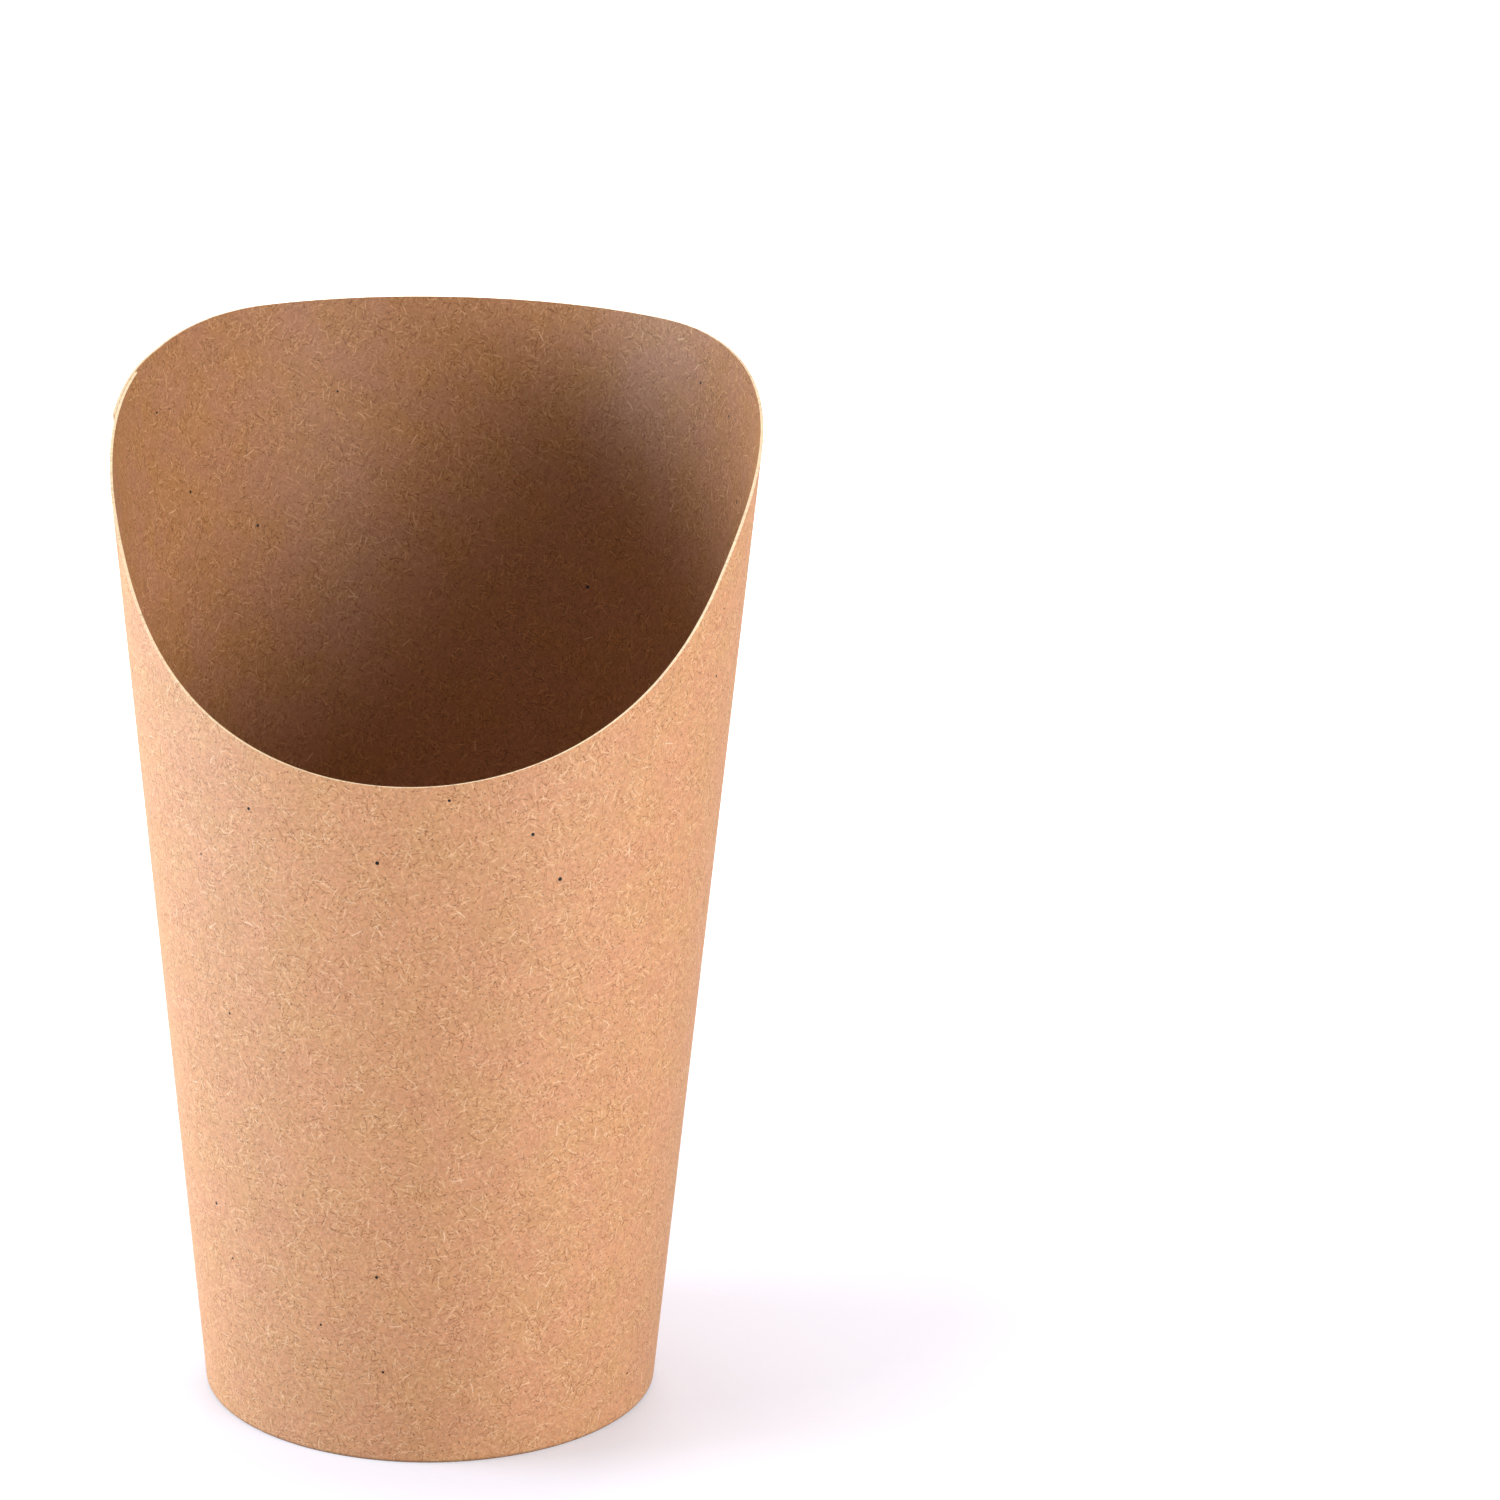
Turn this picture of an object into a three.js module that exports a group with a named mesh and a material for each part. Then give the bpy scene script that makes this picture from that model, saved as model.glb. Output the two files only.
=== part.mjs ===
// A paper fry cup of brown kraft board: a conical wall with a scooped rim, and a recessed base.
//
// Lengths are in millimetres, +Z is up and the cup stands on its foot at z = 0. The low lip of
// the scoop faces -Y. The origin lies under the middle of the cup's bounding box, so the axis
// of the cone stands a little way in front of it, towards -Y.
//
// A bearing is the angle round the cone's axis from the low lip, seen from above and growing
// anticlockwise, so 90 degrees is the +X side.

import * as THREE from 'three';
import { toCreasedNormals } from 'three/addons/utils/BufferGeometryUtils.js';

// Overall sizes, measured over the outside of the board.
const footDiameter = 60;
const mouthDiameter = 85; // at the top of the back
const backHeight = 138;
const frontHeight = 94; // at the lowest point of the scoop

// The scoop is die-cut in the flat blank as two arcs that run into each other.
const scoopRadius = 72; // the hollow arc in front
const shoulderRadius = 63; // the round arc that brings it up to the full height

// The board, and the glued lap where the two ends of the blank meet.
const boardThickness = 0.4;
const lapWidth = 7;
const lapRamp = 6; // the length in which the outer layer climbs onto the inner one
const lapBearing = 260; // of the middle of the lap, in degrees
const cutSlant = 0.08; // how far a cut end leans over the board's thickness

// The foot: the wall's lower edge is folded in and up, round the skirt of the base.
const hemHeight = 7;
const foldRadius = 0.45; // outside, at both edges of the pressed fold
const glueGap = 0.15; // on each side of the skirt

// The base: a disc whose rim is bent down into a skirt.
const baseAboveHem = 1; // from the top of the hem to the underside of the disc
const bendRadius = 0.9; // outside, where the disc turns into its skirt
const skirtClearance = 0.5; // from the skirt's edge to the floor of the fold

// How finely the round forms are divided.
const aroundSteps = 96;
const arcSteps = 2;
const rampSteps = 5;
const lapSteps = 4;
const creaseAngle = Math.PI / 6;

const footRadius = footDiameter / 2;
const mouthRadius = mouthDiameter / 2;
const taper = (mouthRadius - footRadius) / backHeight;
const halfAngle = Math.atan(taper);
const channelWidth = boardThickness + 2 * glueGap;
const baseUnderside = hemHeight + baseAboveHem;

// The radii of the cone's faces at a height, where the board is a single layer.
const outerFace = (z) => footRadius + taper * z;
const innerFace = (z) => outerFace(z) - boardThickness;
const hemFace = (z) => innerFace(z) - channelWidth;

// The rim's height at a bearing in radians. The cone is unrolled about its apex: a bearing
// becomes the blank's angle, which the sine of the half angle shrinks, and a height becomes a
// distance from the apex. There the die line is plain arcs.
function rimHeight(bearing) {
  const footDistance = footRadius / Math.sin(halfAngle);
  const backDistance = footDistance + backHeight / Math.cos(halfAngle);
  const frontDistance = footDistance + frontHeight / Math.cos(halfAngle);
  const turned = Math.abs(Math.atan2(Math.sin(bearing), Math.cos(bearing)));
  const angle = turned * Math.sin(halfAngle);

  const scoopCentre = frontDistance + scoopRadius;
  const shoulderCentre = backDistance - shoulderRadius;
  const centreSpan = scoopRadius + shoulderRadius;
  const shoulderAngle = Math.acos(
    (scoopCentre ** 2 + shoulderCentre ** 2 - centreSpan ** 2) / (2 * scoopCentre * shoulderCentre)
  );
  const share = scoopRadius / centreSpan;
  const joinAngle = Math.atan2(
    share * shoulderCentre * Math.sin(shoulderAngle),
    scoopCentre + share * (shoulderCentre * Math.cos(shoulderAngle) - scoopCentre)
  );

  let distance = backDistance;
  if (angle < joinAngle) {
    distance = arcDistance(scoopCentre, scoopRadius, angle, -1);
  } else if (angle < shoulderAngle) {
    distance = arcDistance(shoulderCentre, shoulderRadius, angle - shoulderAngle, 1);
  }
  return (distance - footDistance) * Math.cos(halfAngle);
}

// How far from the apex a ray at an angle meets a circle: its near side (-1) or far side (+1).
function arcDistance(centre, radius, angle, side) {
  const across = centre * Math.sin(angle);
  return centre * Math.cos(angle) + side * Math.sqrt(Math.max(radius ** 2 - across ** 2, 0));
}

// The places round the cone where the wall's section is drawn, each with the distance that the
// lap lifts the board's inside and outside face off the cone there. The inner end of the blank
// lies on the cone. The outer end climbs over its cut edge and stops with a cut edge of its own.
function wallStations() {
  const lapHalf = lapWidth / 2;
  const stations = [];
  for (let i = 0; i <= rampSteps; i++) {
    const share = i / rampSteps;
    const lift = boardThickness * THREE.MathUtils.smoothstep(share, 0, 1);
    stations.push({ along: -lapHalf - lapRamp * (1 - share), inside: lift, outside: lift });
  }
  for (let i = 0; i <= lapSteps; i++) {
    const along = THREE.MathUtils.lerp(cutSlant - lapHalf, lapHalf - cutSlant, i / lapSteps);
    stations.push({ along, inside: 0, outside: boardThickness });
  }
  stations.push({ along: lapHalf, inside: 0, outside: 0 });

  const meanRadius = (footRadius + mouthRadius) / 2;
  const lapMiddle = THREE.MathUtils.degToRad(lapBearing);
  for (const station of stations) {
    station.bearing = lapMiddle + station.along / meanRadius;
  }

  const plainStart = stations[stations.length - 1].bearing;
  const plainEnd = stations[0].bearing + 2 * Math.PI;
  for (let i = 1; i < aroundSteps; i++) {
    const bearing = THREE.MathUtils.lerp(plainStart, plainEnd, i / aroundSteps);
    stations.push({ bearing, inside: 0, outside: 0 });
  }
  return stations;
}

// The wall's section at one station, as x = radius and y = height: down the outside, round the
// pressed fold, up the hem and down again inside it, and up the inside of the cup.
function wallSection({ bearing, inside, outside }) {
  const top = rimHeight(bearing);
  const footOutside = outerFace(foldRadius) + outside - foldRadius;
  const footInside = hemFace(foldRadius) - boardThickness - outside + foldRadius;
  const channelRadius = channelWidth / 2 + inside;
  const channelHeight = boardThickness + channelRadius;
  const channelMiddle = innerFace(channelHeight) - channelWidth / 2;

  const section = new THREE.Path();
  section.moveTo(outerFace(top) + outside, top);
  section.lineTo(footOutside + foldRadius, foldRadius);
  section.absarc(footOutside, foldRadius, foldRadius, 0, -Math.PI / 2, true);
  section.absarc(footInside, foldRadius, foldRadius, -Math.PI / 2, -Math.PI, true);
  section.lineTo(hemFace(hemHeight) - boardThickness - outside, hemHeight);
  section.lineTo(hemFace(hemHeight) - inside, hemHeight);
  section.absarc(channelMiddle, channelHeight, channelRadius, Math.PI, 2 * Math.PI, false);
  section.lineTo(innerFace(top) + inside, top);
  return section.getPoints(arcSteps);
}

// Joins a ring of closed sections into one closed body.
function loftRing(stations, sectionAt) {
  const positions = [];
  const index = [];
  const sections = stations.map(sectionAt);
  const count = sections[0].length;
  sections.forEach((section, i) => {
    const direction = new THREE.Vector2(
      Math.sin(stations[i].bearing),
      -Math.cos(stations[i].bearing)
    );
    const next = (i + 1) % sections.length;
    section.forEach((point, j) => {
      positions.push(direction.x * point.x, direction.y * point.x, point.y);
      const above = (j + 1) % count;
      index.push(i * count + j, i * count + above, next * count + j);
      index.push(next * count + j, i * count + above, next * count + above);
    });
  });
  const geometry = new THREE.BufferGeometry();
  geometry.setAttribute('position', new THREE.Float32BufferAttribute(positions, 3));
  geometry.setIndex(index);
  return toCreasedNormals(geometry, creaseAngle);
}

// The side wall: one piece of board, wrapped round, lapped and folded at the foot.
function makeSideWall() {
  const material = new THREE.MeshStandardMaterial({
    name: 'kraft_wall',
    color: '#cb976f',
    roughness: 0.85,
    metalness: 0,
  });
  const wall = new THREE.Mesh(loftRing(wallStations(), wallSection), material);
  wall.name = 'side_wall';
  return wall;
}

// The base: a second piece of board, turned about the axis. Its skirt lies in the fold.
function makeBaseDisc() {
  const skirtOutside = (z) => innerFace(z) - glueGap;
  const skirtInside = (z) => skirtOutside(z) - boardThickness;
  const skirtBottom = boardThickness + skirtClearance;
  const innerBend = bendRadius - boardThickness;
  const baseTop = baseUnderside + boardThickness;
  const bendHeight = baseTop - bendRadius;
  const bendMiddle = skirtOutside(bendHeight) - bendRadius;

  const section = new THREE.Path();
  section.moveTo(0, baseUnderside);
  section.lineTo(bendMiddle, baseUnderside);
  section.absarc(bendMiddle, bendHeight, innerBend, Math.PI / 2, 0, true);
  section.lineTo(skirtInside(skirtBottom), skirtBottom);
  section.lineTo(skirtOutside(skirtBottom), skirtBottom);
  section.absarc(bendMiddle, bendHeight, bendRadius, 0, Math.PI / 2, false);
  section.lineTo(0, baseTop);

  const material = new THREE.MeshStandardMaterial({
    name: 'kraft_base',
    color: '#bd8a60',
    roughness: 0.85,
    metalness: 0,
  });
  const base = new THREE.Mesh(
    new THREE.LatheGeometry(section.getPoints(arcSteps), aroundSteps),
    material
  );
  base.name = 'base_disc';
  base.rotation.x = Math.PI / 2;
  return base;
}

// The cone's axis is set so that the low lip and the back lie equally far from the origin.
const cup = new THREE.Group();
cup.position.y = (outerFace(frontHeight) - outerFace(backHeight)) / 2;
cup.add(makeSideWall(), makeBaseDisc());

const part = new THREE.Group();
part.add(cup);

export default part;
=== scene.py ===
# A paper fry cup of brown kraft board: the wrapped side wall with its scooped rim, and the base
# that sits in the folded foot. Everything is in metres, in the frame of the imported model.
import bpy
import bmesh
import math
from mathutils import Matrix, Vector


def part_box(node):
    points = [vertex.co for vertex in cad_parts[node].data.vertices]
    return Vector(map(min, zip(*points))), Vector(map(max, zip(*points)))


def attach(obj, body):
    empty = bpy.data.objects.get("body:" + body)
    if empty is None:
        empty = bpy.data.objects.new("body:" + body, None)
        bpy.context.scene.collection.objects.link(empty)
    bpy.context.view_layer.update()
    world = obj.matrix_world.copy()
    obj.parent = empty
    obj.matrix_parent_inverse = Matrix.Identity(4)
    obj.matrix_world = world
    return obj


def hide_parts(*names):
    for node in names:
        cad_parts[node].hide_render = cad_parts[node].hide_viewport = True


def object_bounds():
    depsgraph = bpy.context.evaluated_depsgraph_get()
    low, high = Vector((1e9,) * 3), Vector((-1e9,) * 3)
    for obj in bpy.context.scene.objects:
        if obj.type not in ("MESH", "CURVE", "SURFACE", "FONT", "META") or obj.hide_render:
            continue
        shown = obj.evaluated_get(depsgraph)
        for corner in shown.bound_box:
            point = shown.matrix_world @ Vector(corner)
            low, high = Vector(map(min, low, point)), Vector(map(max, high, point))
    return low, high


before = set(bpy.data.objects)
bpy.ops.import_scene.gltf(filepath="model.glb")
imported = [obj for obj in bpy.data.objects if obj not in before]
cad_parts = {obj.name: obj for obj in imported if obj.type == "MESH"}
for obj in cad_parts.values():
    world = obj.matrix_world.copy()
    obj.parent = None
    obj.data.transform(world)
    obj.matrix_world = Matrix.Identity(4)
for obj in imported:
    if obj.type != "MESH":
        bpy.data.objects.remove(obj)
cadLow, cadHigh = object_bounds()
mm = 0.001
print("frame loaded:", ", ".join(sorted(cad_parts)))

# the cone's axis goes through the middle of the round base
baseLow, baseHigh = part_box("base_disc")
axis = Vector(((baseLow.x + baseHigh.x) / 2, (baseLow.y + baseHigh.y) / 2, 0))

board = 0.4 * mm  # thickness of the kraft board
sharpAngle = math.radians(35)  # folds steeper than this stay crisp

# the cone, and the scoop as it is cut in the flat blank
cone = dict(
    footRadius=30 * mm,
    mouthRadius=42.5 * mm,
    backHeight=cadHigh.z,
    frontHeight=94 * mm,
    scoopRadius=72 * mm,     # hollow arc in front
    shoulderRadius=63 * mm,  # round arc up to the full height
)
cone["taper"] = (cone["mouthRadius"] - cone["footRadius"]) / cone["backHeight"]
cone["halfAngle"] = math.atan(cone["taper"])


# colours


def srgb(hexCode):
    channels = [int(hexCode[i:i + 2], 16) / 255 for i in (1, 3, 5)]
    return [c / 12.92 if c <= 0.04045 else ((c + 0.055) / 1.055) ** 2.4 for c in channels] + [1]


# adds a node, sets its properties, and fills its sockets or links them to another node
def addNode(tree, kind, sockets=None, **properties):
    node = tree.nodes.new("ShaderNode" + kind)
    for name, value in properties.items():
        setattr(node, name, value)
    for key, value in (sockets or {}).items():
        if isinstance(value, bpy.types.Node):
            value = next(socket for socket in value.outputs if socket.enabled)
        if isinstance(value, bpy.types.NodeSocket):
            tree.links.new(value, node.inputs[key])
        else:
            node.inputs[key].default_value = value
    return node


# Unbleached kraft paperboard, machine finished and lightly calendered: brown softwood fibres
# lie flat in all directions, so the eye sees a matt tan ground with a fine felt of short hairs,
# light and dark, soft rosy and yellow patches, and a few bark specks. Sizes are in millimetres.
kraft = dict(
    patchSize=7.0,            # where the pulp is rosier or yellower
    patchRange=(0.38, 0.62),  # the noise at which it is one or the other
    cloudSize=5.0,            # where the fibres lie denser, which looks darker
    cloudRange=(0.35, 0.65),
    cloudDepth=0.06,
    feltLength=1.1,           # real fibres are 2 mm by 0.04 mm, mostly hidden under one another
    feltWidth=0.26,           # drawn as wide as it needs to show
    feltDirections=4,
    feltTurn=0.3,             # of a step, so that none follows the blank's own directions
    feltShift=(3.7, 1.9),     # from one direction's noise to the next one's
    feltRange=(0.36, 0.64),
    feltDepth=0.11,
    tuftSize=3.5,             # the hairs show more in some places than in others
    tuftRange=(0.38, 0.60),
    tuftLeast=0.5,
    hairWidth=0.16,           # drawn four times as wide as it is
    hairFade=(0.2, 0.7),      # where a hair fades, in its widths away from its middle line
    hairTaper=(0.3, 0.5),     # and in its lengths away from its middle
    hairBend=0.4,
    hairShift=(3.1, 13.7),    # of the first kind's grid, and from each kind's to the next one's
    hairs=(  # one hair in each cell, or in a share of the cells
        dict(tone="dark", cell=0.50, length=0.6, share=0.50, strength=0.52),
        dict(tone="light", cell=0.58, length=0.7, share=0.45, strength=0.38),
        dict(tone="dark", cell=1.3, length=1.4, share=0.50, strength=0.56),
        dict(tone="light", cell=1.5, length=1.6, share=0.50, strength=0.46),
        dict(tone="bright", cell=11.0, length=1.9, share=0.40, strength=0.50),
    ),
    dotLeast=0.6,             # the smallest dot, as a share of the largest
    dotShift=(5.3, 17.9),
    dots=(  # shives, which are short dark bits, and bark specks
        dict(tone="shive", cell=1.1, radius=0.12, share=0.35, strength=0.65),
        dict(tone="speck", cell=7.0, radius=0.27, share=0.08, strength=1.0),
    ),
    relief=0.008 * mm,        # height of the fibres
    roughness=0.62,
    gloss=0.25,               # specular level, the soft haze on the lit sides
    sheen=0.02,               # loose fibre ends catch light that comes in flat
    sheenRoughness=0.5,
    coatRoughness=0.35,       # of the thin coat against grease inside
    paintedFootShadowLevel=0.3,            # painted shadow: how light the board is left along the foot's fold, where the cup stands on the floor
    footBand=0.6 * mm,
)

# the faces of the board: outside, the inside with its thin coat against grease, and the raw
# edge where it was cut
outsideTones = dict(rosy="#d4986d", yellow="#d29a6a", light="#f8d2a9", dark="#904d2b",
                    bright="#ffe0bc", shive="#5e3620", speck="#0c0603", contrast=1.0)
# darker than the outside: partly the coated board's own tone, partly painted shade
insideTonesWithShade = dict(rosy="#a6724f", yellow="#a57245", light="#d9a878", dark="#5f351b",
                   bright="#e8bf90", shive="#48280f", speck="#20120a", contrast=1.0)
edgeTones = dict(rosy="#f6d4ac", yellow="#f4d6aa", light="#ffe9cc", dark="#d2a77a",
                 bright="#fff4e4", shive="#b98c62", speck="#8a6040", contrast=0.5)


# the felt under the hairs: noise drawn out along the fibres, in several directions at once
def feltPattern(tree, place):
    directions = kraft["feltDirections"]
    shiftAlong, shiftUp = kraft["feltShift"]
    total = 0.0
    for i in range(directions):
        drawn = addNode(tree, "Mapping", vector_type="TEXTURE", sockets={
            "Vector": place, "Location": (shiftAlong * i, shiftUp * i, 0),
            "Rotation": (0, 0, math.pi * (i + kraft["feltTurn"]) / directions),
            "Scale": (kraft["feltLength"], kraft["feltWidth"], 1)})
        strands = addNode(tree, "TexNoise", noise_dimensions="2D", sockets={
            "Vector": drawn, "Scale": 1.0, "Detail": 1.0, "Roughness": 0.5})
        total = addNode(tree, "Math", operation="ADD", sockets={0: strands, 1: total})
    low, high = kraft["feltRange"]
    return addNode(tree, "MapRange", {
        "Value": total, "From Min": low * directions, "From Max": high * directions})


# a scattered grid for hairs and dots: how far each point is from the middle of its cell, and
# three chances for the cell
def scatter(tree, place, cell, shift):
    moved = addNode(tree, "Mapping", {"Vector": place, "Location": (shift, 0.7 * shift, 0)})
    cells = addNode(tree, "TexVoronoi", voronoi_dimensions="2D", sockets={
        "Vector": moved, "Scale": 1 / cell, "Randomness": 1.0})
    away = addNode(tree, "VectorMath", operation="SUBTRACT", sockets={
        0: moved, 1: cells.outputs["Position"]})
    chances = addNode(tree, "SeparateColor", {"Color": cells.outputs["Color"]})
    return away, chances.outputs


# one hair in the middle of each cell, turned at random and slightly bent
def hairPattern(tree, place, shift, hair):
    length, width = hair["length"], kraft["hairWidth"]
    bendMost = kraft["hairBend"] / length
    fadeStart, fadeEnd = kraft["hairFade"]
    taperStart, taperEnd = kraft["hairTaper"]
    away, chances = scatter(tree, place, hair["cell"], shift)
    angle = addNode(tree, "Math", operation="MULTIPLY", sockets={0: chances[0], 1: 2 * math.pi})
    turned = addNode(tree, "VectorRotate", rotation_type="Z_AXIS", sockets={
        "Vector": away, "Angle": angle})
    local = addNode(tree, "SeparateXYZ", {0: turned}).outputs
    bend = addNode(tree, "MapRange", {
        "Value": chances[2], "To Min": -bendMost, "To Max": bendMost})
    squared = addNode(tree, "Math", operation="MULTIPLY", sockets={0: local[0], 1: local[0]})
    bowed = addNode(tree, "Math", operation="MULTIPLY_ADD", sockets={
        0: bend, 1: squared, 2: local[1]})
    aside = addNode(tree, "Math", operation="ABSOLUTE", sockets={0: bowed})
    across = addNode(tree, "MapRange", {
        "Value": aside, "From Min": fadeStart * width, "From Max": fadeEnd * width,
        "To Min": hair["strength"], "To Max": 0.0})
    reach = addNode(tree, "Math", operation="ABSOLUTE", sockets={0: local[0]})
    along = addNode(tree, "MapRange", {
        "Value": reach, "From Min": taperStart * length, "From Max": taperEnd * length,
        "To Min": 1.0, "To Max": 0.0})
    present = addNode(tree, "Math", operation="LESS_THAN", sockets={
        0: chances[1], 1: hair["share"]})
    stroke = addNode(tree, "Math", operation="MULTIPLY", sockets={0: across, 1: along})
    return addNode(tree, "Math", operation="MULTIPLY", sockets={0: stroke, 1: present})


# one round dot in each cell, some smaller than others
def dotPattern(tree, place, shift, dot):
    away, chances = scatter(tree, place, dot["cell"], shift)
    size = addNode(tree, "MapRange", {
        "Value": chances[0], "To Min": kraft["dotLeast"] * dot["radius"],
        "To Max": dot["radius"]})
    distance = addNode(tree, "VectorMath", operation="LENGTH", sockets={0: away})
    filled = addNode(tree, "Math", operation="LESS_THAN", sockets={0: distance, 1: size})
    present = addNode(tree, "Math", operation="LESS_THAN", sockets={
        0: chances[1], 1: dot["share"]})
    spot = addNode(tree, "Math", operation="MULTIPLY", sockets={0: filled, 1: present})
    return addNode(tree, "Math", operation="MULTIPLY", sockets={0: spot, 1: dot["strength"]})


def makeKraft(name, tones, coat=0.0):
    material = bpy.data.materials.new(name)
    material.use_nodes = True
    tree = material.node_tree
    shader = tree.nodes["Principled BSDF"]
    shader.inputs["Roughness"].default_value = kraft["roughness"]
    shader.inputs["Specular IOR Level"].default_value = kraft["gloss"]
    shader.inputs["Sheen Weight"].default_value = kraft["sheen"]
    shader.inputs["Sheen Roughness"].default_value = kraft["sheenRoughness"]
    shader.inputs["Coat Weight"].default_value = coat
    shader.inputs["Coat Roughness"].default_value = kraft["coatRoughness"]

    blank = addNode(tree, "UVMap", uv_map="blank")  # metres on the flat blank
    place = addNode(tree, "Mapping", {"Vector": blank, "Scale": (1000, 1000, 1000)})

    patch = addNode(tree, "TexNoise", {
        "Vector": place, "Scale": 1 / kraft["patchSize"], "Detail": 2.0, "Roughness": 0.6})
    low, high = kraft["patchRange"]
    patchShare = addNode(tree, "MapRange", {"Value": patch, "From Min": low, "From Max": high})
    ground = addNode(tree, "Mix", data_type="RGBA", sockets={
        0: patchShare, 6: srgb(tones["rosy"]), 7: srgb(tones["yellow"])})

    cloud = addNode(tree, "TexNoise", {
        "Vector": place, "Scale": 1 / kraft["cloudSize"], "Detail": 3.0, "Roughness": 0.6})
    low, high = kraft["cloudRange"]
    density = addNode(tree, "MapRange", {
        "Value": cloud, "From Min": low, "From Max": high,
        "To Min": 1 - kraft["cloudDepth"], "To Max": 1.0})
    felt = feltPattern(tree, place)
    feltDepth = kraft["feltDepth"] * tones["contrast"]
    shade = addNode(tree, "MapRange", {
        "Value": felt, "To Min": 1 - feltDepth, "To Max": 1 + feltDepth})
    shade = addNode(tree, "Math", operation="MULTIPLY", sockets={0: shade, 1: density})
    colour = addNode(tree, "Mix", data_type="RGBA", blend_type="MULTIPLY", sockets={
        0: 1.0, 6: ground, 7: shade})

    tuft = addNode(tree, "TexNoise", {
        "Vector": place, "Scale": 1 / kraft["tuftSize"], "Detail": 1.0})
    low, high = kraft["tuftRange"]
    tuftShare = addNode(tree, "MapRange", {
        "Value": tuft, "From Min": low, "From Max": high,
        "To Min": kraft["tuftLeast"], "To Max": 1.0})
    height = felt
    first, step = kraft["hairShift"]
    for i, hair in enumerate(kraft["hairs"]):
        pattern = hairPattern(tree, place, first + step * i, hair)
        if hair["tone"] != "bright":
            pattern = addNode(tree, "Math", operation="MULTIPLY", sockets={
                0: pattern, 1: tuftShare})
        colour = addNode(tree, "Mix", data_type="RGBA", sockets={
            0: pattern, 6: colour, 7: srgb(tones[hair["tone"]])})
        height = addNode(tree, "Math", operation="SUBTRACT" if hair["tone"] == "dark" else "ADD",
                         sockets={0: height, 1: pattern})
    first, step = kraft["dotShift"]
    for i, dot in enumerate(kraft["dots"]):
        pattern = dotPattern(tree, place, first + step * i, dot)
        colour = addNode(tree, "Mix", data_type="RGBA", sockets={
            0: pattern, 6: colour, 7: srgb(tones[dot["tone"]])})

    # painted shadow: the board darkens over the lowest footBand of its height, the contact shadow
    # along the foot painted into its colour
    position = addNode(tree, "TexCoord").outputs["Object"]
    level = addNode(tree, "SeparateXYZ", {0: position}).outputs["Z"]
    paintedFootShadow = addNode(tree, "MapRange", {
        "Value": level, "From Min": 0.0, "From Max": kraft["footBand"],
        "To Min": kraft["paintedFootShadowLevel"], "To Max": 1.0})
    colour = addNode(tree, "Mix", data_type="RGBA", blend_type="MULTIPLY", sockets={
        0: 1.0, 6: colour, 7: paintedFootShadow})

    bump = addNode(tree, "Bump", {
        "Height": height, "Distance": kraft["relief"], "Strength": 1.0})
    tree.links.new(bump.outputs["Normal"], shader.inputs["Normal"])
    tree.links.new(colour.outputs[2], shader.inputs["Base Color"])
    return material


boardFaces = [
    makeKraft("kraft_outside", outsideTones),
    makeKraft("kraft_inside_coated", insideTonesWithShade, coat=0.05),
    makeKraft("kraft_cut_edge", edgeTones),
]
outside, inside, cutEdge = 0, 1, 2  # their places in every piece's list
print("kraft board materials made")


# camera: the photograph's, a long lens a little above the rim. It comes from fitting the cup's
# outlines, and looks 17 degrees down and a little to the left.
view = dict(
    place=(75.9 * mm, -617.9 * mm, 277.9 * mm),
    heading=math.radians(3.24),
    tilt=math.radians(17.04),
    roll=math.radians(1.39),
    lens=120,  # in mm, as is the sensor's width
    sensor=36,
    nearest=50 * mm,
)


def makeCamera():
    data = bpy.data.cameras.new("camera")
    data.lens = view["lens"]
    data.sensor_width = view["sensor"]
    data.clip_start = view["nearest"]
    camera = bpy.data.objects.new("camera", data)
    bpy.context.scene.collection.objects.link(camera)
    turn = (Matrix.Rotation(view["heading"], 4, "Z")
            @ Matrix.Rotation(math.pi / 2 - view["tilt"], 4, "X")
            @ Matrix.Rotation(view["roll"], 4, "Z"))
    camera.matrix_world = Matrix.Translation(view["place"]) @ turn
    bpy.context.scene.camera = camera


makeCamera()


# side wall: one die-cut blank, wrapped, lapped and folded in at the foot
wall = dict(
    steps=360,
    lapBearing=math.radians(260),  # from the front lip, anticlockwise from above
    lapWidth=7 * mm,
    lapRamp=6 * mm,    # where the outer end climbs onto the inner one
    layerGap=0.02 * mm,
    hemHeight=7 * mm,
    foldRadius=0.45 * mm,
    channelRadius=0.3 * mm,
    glueGap=0.15 * mm,
    edgeRound=0.04 * mm,
)


def coneRadius(height):
    return cone["footRadius"] + cone["taper"] * height


# distance from the apex at which a ray meets a circle, near side (-1) or far side (1)
def arcDistance(centre, radius, angle, side):
    across = centre * math.sin(angle)
    return centre * math.cos(angle) + side * math.sqrt(max(radius ** 2 - across ** 2, 0))


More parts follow.
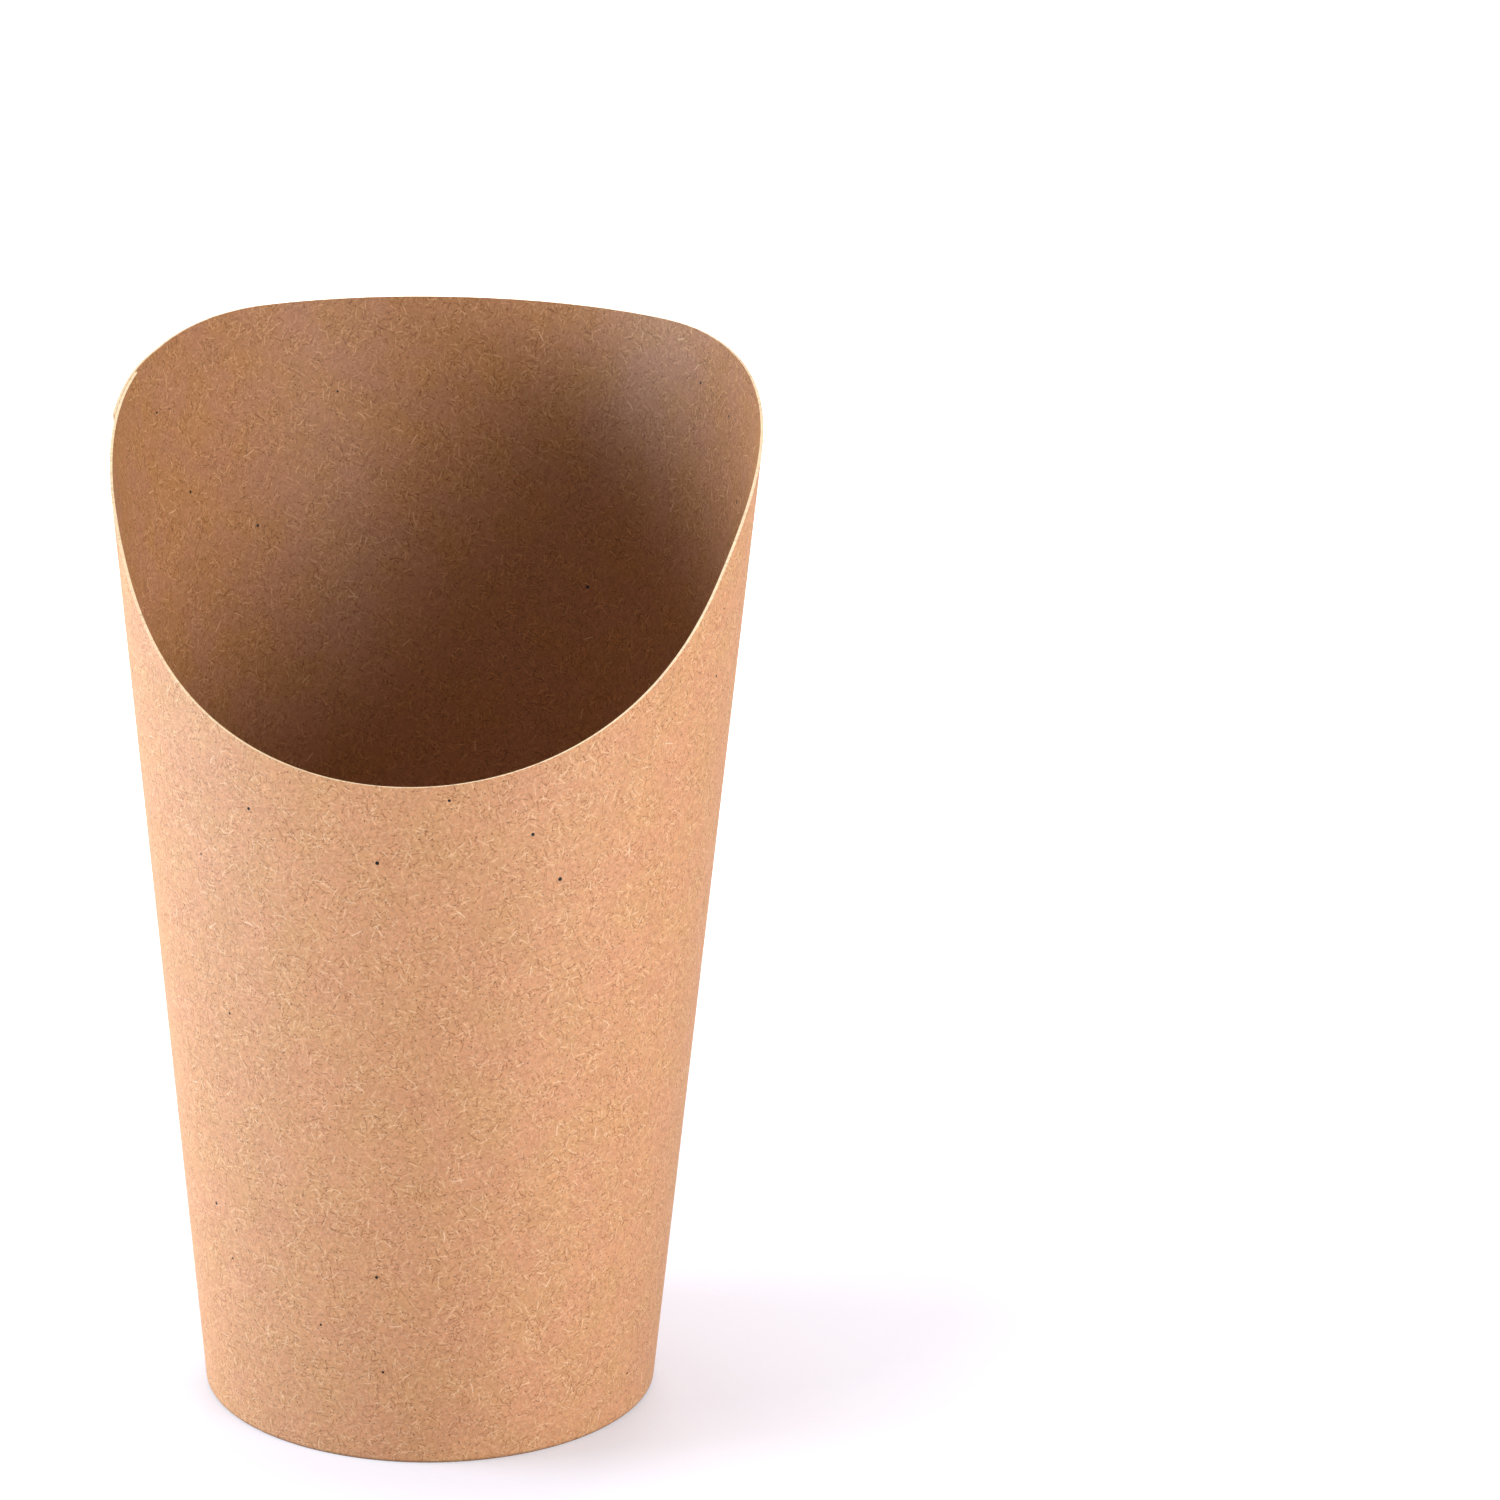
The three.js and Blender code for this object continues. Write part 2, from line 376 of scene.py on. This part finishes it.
# height of the cut rim at a bearing, from the two arcs of the flat blank
def rimHeight(bearing):
    slope = cone["halfAngle"]
    foot = cone["footRadius"] / math.sin(slope)
    back = foot + cone["backHeight"] / math.cos(slope)
    front = foot + cone["frontHeight"] / math.cos(slope)
    scoop, shoulder = cone["scoopRadius"], cone["shoulderRadius"]
    scoopCentre, shoulderCentre, span = front + scoop, back - shoulder, scoop + shoulder
    angle = abs(math.atan2(math.sin(bearing), math.cos(bearing))) * math.sin(slope)
    shoulderAngle = math.acos(
        (scoopCentre ** 2 + shoulderCentre ** 2 - span ** 2) / (2 * scoopCentre * shoulderCentre))
    share = scoop / span
    joinAngle = math.atan2(
        share * shoulderCentre * math.sin(shoulderAngle),
        scoopCentre + share * (shoulderCentre * math.cos(shoulderAngle) - scoopCentre))
    distance = back
    if angle < joinAngle:
        distance = arcDistance(scoopCentre, scoop, angle, -1)
    elif angle < shoulderAngle:
        distance = arcDistance(shoulderCentre, shoulder, angle - shoulderAngle, 1)
    return (distance - foot) * math.cos(slope)


def smoothShare(value):
    share = min(max(value, 0), 1)
    return share * share * (3 - 2 * share)


def finishPiece(mesh, name, node):
    for face in mesh.faces:
        face.smooth = True
    data = bpy.data.meshes.new(name)
    mesh.to_mesh(data)
    mesh.free()
    data.set_sharp_from_angle(angle=sharpAngle)
    for material in boardFaces:
        data.materials.append(material)
    piece = bpy.data.objects.new(name, data)
    bpy.context.scene.collection.objects.link(piece)
    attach(piece, "root")
    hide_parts(node)


def makeWall():
    channel = board + 2 * wall["glueGap"]
    innerRadius = coneRadius(0) - board
    hemRadius = innerRadius - channel
    top, hem = cone["backHeight"], wall["hemHeight"]

    # the board's closed section at the foot's width, as (radius, height, face to the next corner)
    corners = [
        (coneRadius(0), top, outside),
        (coneRadius(0), 0, outside),
        (hemRadius - board, 0, outside),
        (hemRadius - board, hem, cutEdge),
        (hemRadius, hem, inside),
        (hemRadius, board, inside),
        (innerRadius, board, inside),
        (innerRadius, top, cutEdge),
    ]
    foldCorners, channelCorners, cutCorners = (1, 2), (5, 6), (0, 3, 4, 7)
    meanRadius = (cone["footRadius"] + cone["mouthRadius"]) / 2
    lapAngle = wall["lapWidth"] / meanRadius
    rampAngle = wall["lapRamp"] / meanRadius
    startBearing = wall["lapBearing"] - lapAngle / 2
    turn = 2 * math.pi + lapAngle

    mesh = bmesh.new()
    first = Matrix.Rotation(startBearing, 3, "Z")
    section = [mesh.verts.new(first @ Vector((0, -radius, height)))
               for radius, height, face in corners]
    edges = [mesh.edges.new((section[i], section[(i + 1) % len(section)]))
             for i in range(len(section))]
    bmesh.ops.spin(mesh, geom=section + edges, cent=(0, 0, 0), axis=(0, 0, 1),
                   dvec=(0, 0, 0), angle=turn, steps=wall["steps"], use_merge=False)
    mesh.verts.index_update()

    # each turn of the section gets its rim height and taper, and its lift where the ends lap
    count = len(corners)
    channelMiddle = (innerRadius + hemRadius) / 2
    flat = {}  # where each vertex lies in the flat blank
    for vertex in mesh.verts:
        step, corner = divmod(vertex.index, count)
        radius, height, face = corners[corner]
        angle = turn * step / wall["steps"]
        bearing = startBearing + angle
        if height == top:
            height = rimHeight(bearing)
        outerLift = smoothShare((angle - (turn - lapAngle - rampAngle)) / rampAngle)
        innerLift = 1 - smoothShare((angle - lapAngle) / rampAngle)
        lift = (board + wall["layerGap"]) * outerLift
        if corner in foldCorners + channelCorners:  # the inner end's fold rests on the outer's
            height += (board + wall["layerGap"]) * innerLift
        side = 1 if radius > channelMiddle else -1
        flatAngle = angle * math.sin(cone["halfAngle"])
        apexDistance = cone["footRadius"] / math.sin(cone["halfAngle"]) + side * height
        flat[vertex] = (apexDistance * math.sin(flatAngle), apexDistance * math.cos(flatAngle))
        radius += cone["taper"] * height + side * lift
        vertex.co = (radius * math.sin(bearing), -radius * math.cos(bearing), height)
    print("side wall wrapped:", len(mesh.verts), "vertices")

    cornerOf = {vertex: vertex.index % count for vertex in mesh.verts}
    rings = [[] for corner in corners]
    for edge in mesh.edges:
        if cornerOf[edge.verts[0]] == cornerOf[edge.verts[1]]:
            rings[cornerOf[edge.verts[0]]].append(edge)
    blank = mesh.loops.layers.uv.new("blank")
    for face in mesh.faces:
        for loop in face.loops:
            loop[blank].uv = flat[loop.vert]
        lowest = sorted({cornerOf[vertex] for vertex in face.verts})
        corner = count - 1 if lowest == [0, count - 1] else lowest[0]
        face.material_index = corners[corner][2]

    # the two cut ends are closed
    ends = [edge for edge in mesh.edges if edge.is_boundary]
    for face in bmesh.ops.edgeloop_fill(mesh, edges=ends, mat_nr=cutEdge)["faces"]:
        face.material_index = cutEdge
    bmesh.ops.recalc_face_normals(mesh, faces=mesh.faces)

    # pressed fold, floor of the channel, and the faint rounding of the cut edges
    for chosen, radius, segments in (
            (foldCorners, wall["foldRadius"], 5),
            (channelCorners, wall["channelRadius"], 4),
            (cutCorners, wall["edgeRound"], 2)):
        bmesh.ops.bevel(mesh, geom=[edge for i in chosen for edge in rings[i]],
                        offset=radius, offset_type="OFFSET", segments=segments, profile=0.5,
                        affect="EDGES", material=-1, clamp_overlap=True)
    bmesh.ops.translate(mesh, verts=mesh.verts, vec=axis)
    finishPiece(mesh, "wall_board", "side_wall")


# base: a disc of the same board, its rim bent down into the fold of the foot
base = dict(
    steps=360,
    aboveHem=1 * mm,
    bendRadius=0.9 * mm,
    skirtClearance=0.5 * mm,
    near=0.01 * mm,  # places closer than this count as one
)


def makeBase():
    underside = wall["hemHeight"] + base["aboveHem"]
    top = underside + board
    skirtBottom = board + base["skirtClearance"]

    def skirtRadius(height):
        return coneRadius(height) - board - wall["glueGap"]

    corners = [
        (0, top, inside),
        (skirtRadius(top), top, inside),
        (skirtRadius(skirtBottom), skirtBottom, cutEdge),
        (skirtRadius(skirtBottom) - board, skirtBottom, outside),
        (skirtRadius(underside) - board, underside, outside),
        (0, underside, outside),
    ]
    mesh = bmesh.new()
    section = [mesh.verts.new((radius, 0, height)) for radius, height, face in corners]
    for i in range(len(section) - 1):
        mesh.edges.new((section[i], section[i + 1]))
    bmesh.ops.spin(mesh, geom=mesh.verts[:] + mesh.edges[:], cent=(0, 0, 0), axis=(0, 0, 1),
                   dvec=(0, 0, 0), angle=2 * math.pi, steps=base["steps"], use_merge=True)
    bmesh.ops.remove_doubles(mesh, verts=mesh.verts, dist=base["near"])
    bmesh.ops.recalc_face_normals(mesh, faces=mesh.faces)

    def ringAt(corner):
        radius, height = corner[:2]
        return [edge for edge in mesh.edges if all(
            abs(v.co.xy.length - radius) < base["near"] and abs(v.co.z - height) < base["near"]
            for v in edge.verts)]

    blank = mesh.loops.layers.uv.new("blank")
    for face in mesh.faces:
        for loop in face.loops:
            loop[blank].uv = loop.vert.co.xy
        middle = face.calc_center_median()
        facesDown = face.normal.z < -0.5
        facesAxis = face.normal.dot(Vector((middle.x, middle.y, 0))) < 0
        if facesDown and middle.z < underside - base["near"]:
            face.material_index = cutEdge
        elif facesDown or facesAxis:
            face.material_index = outside
        else:
            face.material_index = inside
    topBend, undersideBend = corners[1], corners[4]
    bmesh.ops.bevel(mesh, geom=ringAt(topBend), offset=base["bendRadius"],
                    offset_type="OFFSET", segments=6, profile=0.5, affect="EDGES",
                    material=-1, clamp_overlap=True)
    bmesh.ops.bevel(mesh, geom=ringAt(undersideBend), offset=base["bendRadius"] - board,
                    offset_type="OFFSET", segments=4, profile=0.5, affect="EDGES",
                    material=-1, clamp_overlap=True)
    bmesh.ops.translate(mesh, verts=mesh.verts, vec=axis)
    finishPiece(mesh, "base_board", "base_disc")


makeWall()
makeBase()
print("cup pieces made")


# white table that runs out into a white backdrop, and plain soft light
studio = dict(
    floorSize=3.0,           # half its width
    floorColour="#cbc6cf",
    bounceColour="#9c9aa4",  # what light finds there, grey, so that little is thrown at the cup
    nearGlow=0.36,          # painted glow that the camera sees in the floor beside the cup
    nearPlace=(25 * mm, 35 * mm, 0),  # the middle of it, behind the cup and to the right
    nearRadius=45 * mm,
    farRadius=180 * mm,      # from here on it is plain white
    skyStrength=0.05,
    lampSize=0.45,
    lamps={  # each one's place, its power and its colour
        "lamp_left": ((-0.79, -0.12, 0.17), 13.5, "#e0eeff"),
        "lamp_right": ((0.61, -0.51, 0.17), 8.2, "#f4f8ff"),
        "lamp_back": ((0.0, 0.80, 0.21), 5.5, "#ffffff"),
        "lamp_top": ((0, 0.15, 0.95), 5.0, "#ffffff"),
    },
)


# whether the camera sees the place, straight on or in a gloss
def seenShare(tree):
    path = addNode(tree, "LightPath").outputs
    mirrored = addNode(tree, "Math", operation="MAXIMUM", sockets={
        0: path["Is Glossy Ray"], 1: path["Is Transmission Ray"]})
    return addNode(tree, "Math", operation="MAXIMUM", sockets={
        0: path["Is Camera Ray"], 1: mirrored})


def makeFloor():
    mesh = bmesh.new()
    bmesh.ops.create_grid(mesh, x_segments=1, y_segments=1, size=studio["floorSize"])
    data = bpy.data.meshes.new("floor")
    mesh.to_mesh(data)
    mesh.free()
    floor = bpy.data.objects.new("floor", data)
    bpy.context.scene.collection.objects.link(floor)

    material = bpy.data.materials.new("white_paper_sweep")
    material.use_nodes = True
    tree = material.node_tree
    tree.nodes.clear()
    place = addNode(tree, "TexCoord").outputs["Object"]
    away = addNode(tree, "VectorMath", operation="DISTANCE", sockets={
        0: place, 1: studio["nearPlace"]})
    # painted glow: the floor shines for the camera, least around nearPlace where the cup's shadow
    # shows, and rising to plain white at farRadius
    glow = addNode(tree, "MapRange", {
        "Value": away, "From Min": studio["nearRadius"], "From Max": studio["farRadius"],
        "To Min": studio["nearGlow"], "To Max": 1.0})
    white = addNode(tree, "Emission", {"Color": (1, 1, 1, 1), "Strength": glow})
    paper = addNode(tree, "BsdfDiffuse", {"Color": srgb(studio["floorColour"])})
    seenPaper = addNode(tree, "AddShader", {0: white, 1: paper})
    bounce = addNode(tree, "BsdfDiffuse", {"Color": srgb(studio["bounceColour"])})
    both = addNode(tree, "MixShader", {0: seenShare(tree), 1: bounce, 2: seenPaper})
    addNode(tree, "OutputMaterial", {"Surface": both})
    data.materials.append(material)


def makeWorld():
    world = bpy.data.worlds.new("studio")
    bpy.context.scene.world = world
    world.use_nodes = True
    tree = world.node_tree
    tree.nodes.clear()
    strength = addNode(tree, "MapRange", {
        "Value": seenShare(tree), "To Min": studio["skyStrength"], "To Max": 1.0})
    sky = addNode(tree, "Background", {"Color": (1, 1, 1, 1), "Strength": strength})
    addNode(tree, "OutputWorld", {"Surface": sky})


def makeLamp(name, place, power, colour):
    data = bpy.data.lights.new(name, "AREA")
    data.size = studio["lampSize"]
    data.energy = power
    data.color = srgb(colour)[:3]
    lamp = bpy.data.objects.new(name, data)
    bpy.context.scene.collection.objects.link(lamp)
    aim = Vector((0, 0, cone["backHeight"] / 2)) - Vector(place)
    lamp.location = place
    lamp.rotation_euler = aim.to_track_quat("-Z", "Y").to_euler()


makeFloor()
makeWorld()
for name, settings in studio["lamps"].items():
    makeLamp(name, *settings)
bpy.context.scene.view_settings.view_transform = "Standard"
print("studio made")
